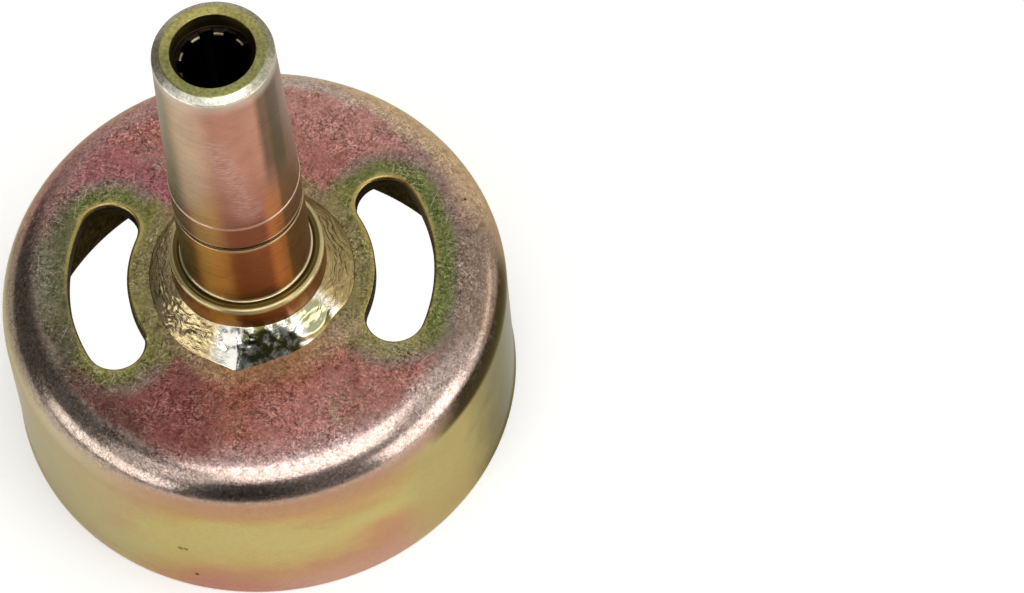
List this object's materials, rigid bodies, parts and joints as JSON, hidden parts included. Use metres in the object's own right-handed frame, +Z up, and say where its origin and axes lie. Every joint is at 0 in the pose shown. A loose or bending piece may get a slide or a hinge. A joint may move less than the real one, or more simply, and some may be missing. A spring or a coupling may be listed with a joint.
{
  "type": "clutch drum",
  "caption": "Pressed steel clutch drum with curved slots in its cap and a welded hollow shaft, splined inside, that takes the drive from a centrifugal clutch.",
  "frame": {"origin": "centre of the open rim, on the plane that the drum stands on", "axes": "+Z up along the shaft, out of the cap; the two slots lie on the X axis, one at each side"},
  "size_m": [0.0594, 0.0594, 0.0715],
  "materials": {
    "plated_sheet": "pressed steel sheet, yellow zinc plated, rose and green tints",
    "plated_shaft": "turned steel, yellow zinc plated",
    "plated_weld": "weld bead, zinc plated, bright"
  },
  "bodies": {
    "root": {"drum_cup": "plated_sheet", "output_shaft": "plated_shaft", "weld_bead": "plated_weld"}
  },
  "joints": []
}
